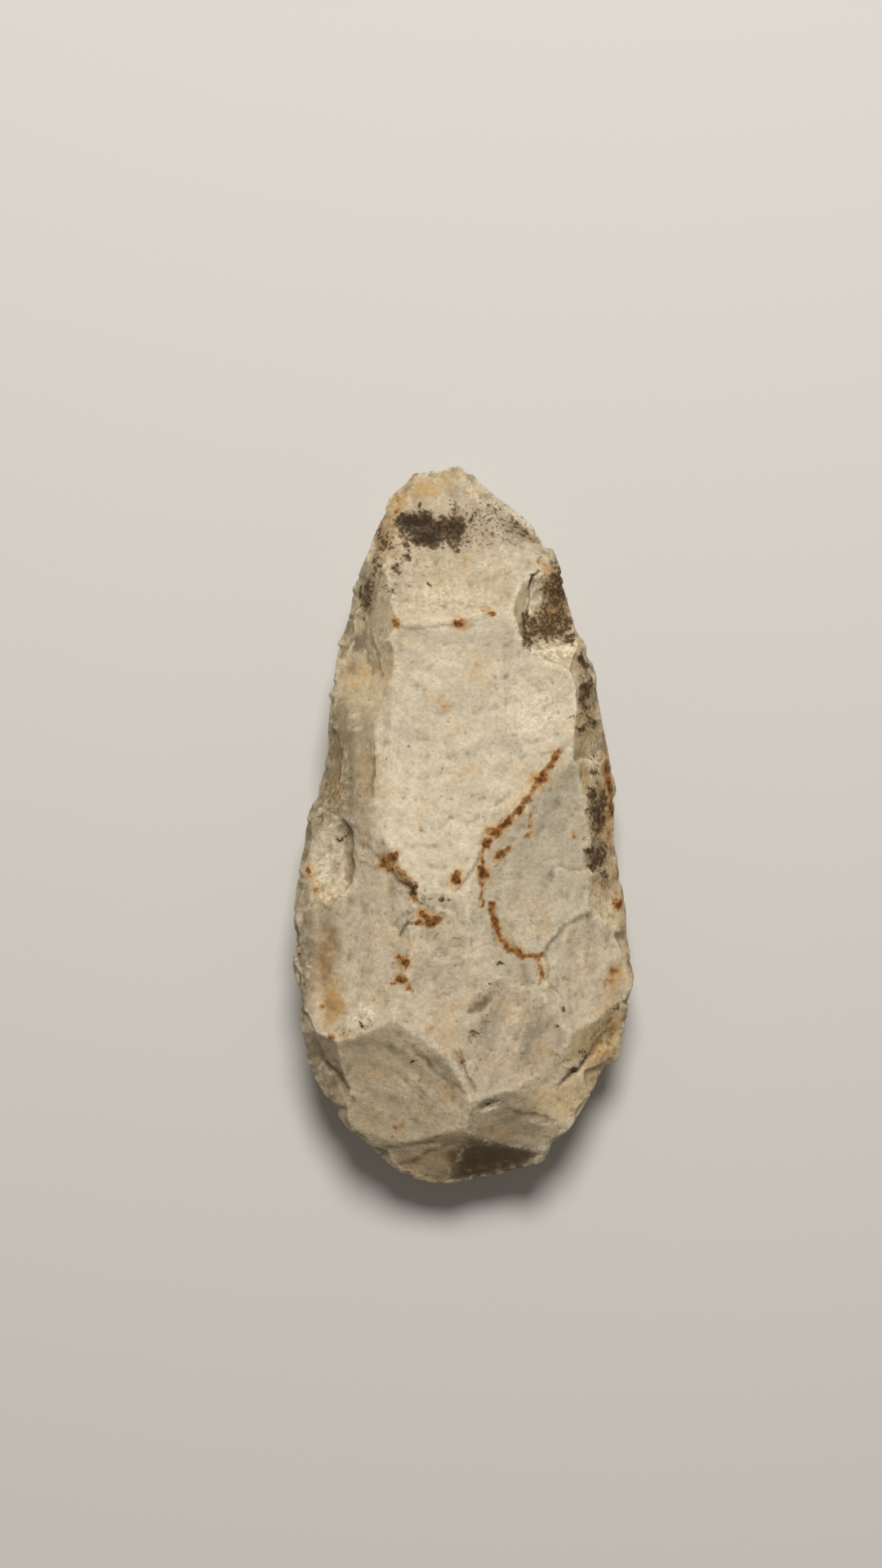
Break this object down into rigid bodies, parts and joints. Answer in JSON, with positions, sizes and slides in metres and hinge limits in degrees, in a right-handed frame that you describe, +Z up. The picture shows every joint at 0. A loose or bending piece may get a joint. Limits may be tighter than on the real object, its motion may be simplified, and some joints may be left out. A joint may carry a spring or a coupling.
{
  "type": "stone hand axe",
  "caption": "Knapped flint hand axe, teardrop-shaped, with a blunt rounded tip, a thick rounded butt, shallow dished flake scars and a chipped, worn edge.",
  "frame": {"origin": "bottom centre of the bounding box, on the surface that the axe lies on", "axes": "+Y along the length towards the tip, +Z up out of the face that the picture shows, +X across the width to the right of that face with the tip away"},
  "size_m": [0.0544, 0.115, 0.027],
  "materials": {
    "flint": "patinated flint, dull cream with grey, ochre, rust and black stains"
  },
  "bodies": {
    "root": {"flint_body": "flint"}
  },
  "joints": []
}
